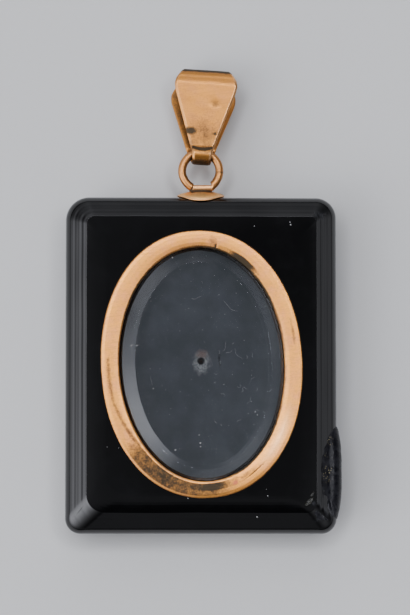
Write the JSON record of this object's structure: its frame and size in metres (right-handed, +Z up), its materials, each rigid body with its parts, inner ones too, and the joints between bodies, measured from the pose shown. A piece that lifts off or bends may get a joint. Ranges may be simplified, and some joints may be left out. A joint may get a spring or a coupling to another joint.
{
  "type": "keepsake pendant",
  "caption": "Polished black stone plaque pendant with a glazed oval compartment in a gold bezel, and a folded bail that swings on a wire ring.",
  "frame": {"origin": "middle of the plaque's flat back, on the surface it lies on", "axes": "+Z up through the glass, +Y along the plaque towards the ring and bail, +X to the right seen from the front"},
  "size_m": [0.0336, 0.0572, 0.0084],
  "materials": {
    "black_stone": "polished",
    "bezel_gold": "satin",
    "ring_gold": "satin",
    "bail_gold": "satin",
    "clear_glass": "polished"
  },
  "bodies": {
    "pendant": {"plaque": "black_stone", "bezel": "bezel_gold", "glass": "clear_glass", "cap_ring": "ring_gold"},
    "bail": {"bail": "bail_gold"}
  },
  "joints": [
    {"name": "bail_swing", "type": "hinge", "parent": "pendant", "child": "bail", "pos_m": [0.00012, 0.02587, 0.0038], "axis": [0.9981, -0.061, 0], "range_deg": [0, 105]}
  ]
}
